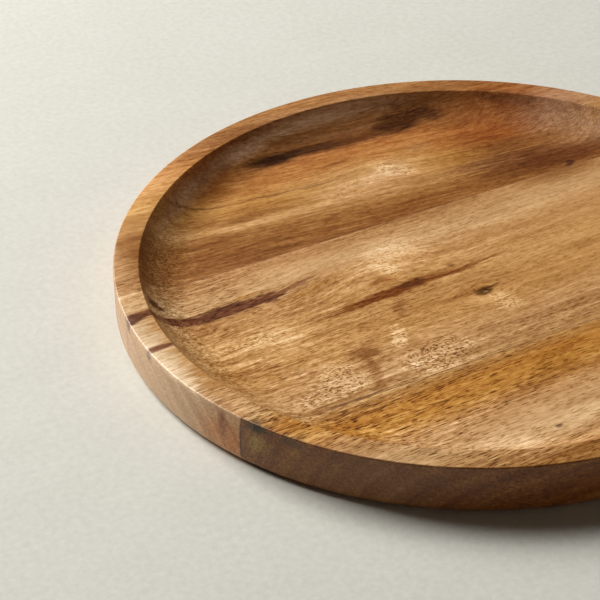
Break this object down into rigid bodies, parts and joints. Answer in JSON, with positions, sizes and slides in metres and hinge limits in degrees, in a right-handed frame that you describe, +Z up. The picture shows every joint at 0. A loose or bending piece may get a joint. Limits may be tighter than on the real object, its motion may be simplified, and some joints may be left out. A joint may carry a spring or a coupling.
{
  "type": "round serving tray",
  "caption": "Round shallow wooden serving tray, turned from edge-glued boards, with a flat rim, a coved inner edge and a flat floor to carry food and dishes.",
  "frame": {"origin": "centre of the flat underside", "axes": "+Z up out of the tray, +X along the grain and the glue lines, +Y across the boards from the front board to the back board"},
  "size_m": [0.4, 0.4, 0.03],
  "materials": {
    "front_board_wood": "oiled hardwood, satin",
    "middle_board_wood": "oiled hardwood, satin",
    "back_board_wood": "oiled hardwood, satin",
    "wood_glue": "cured wood glue, dark"
  },
  "bodies": {
    "root": {"front_board": "front_board_wood", "front_glue_line": "wood_glue", "middle_board": "middle_board_wood", "back_glue_line": "wood_glue", "back_board": "back_board_wood"}
  },
  "joints": []
}
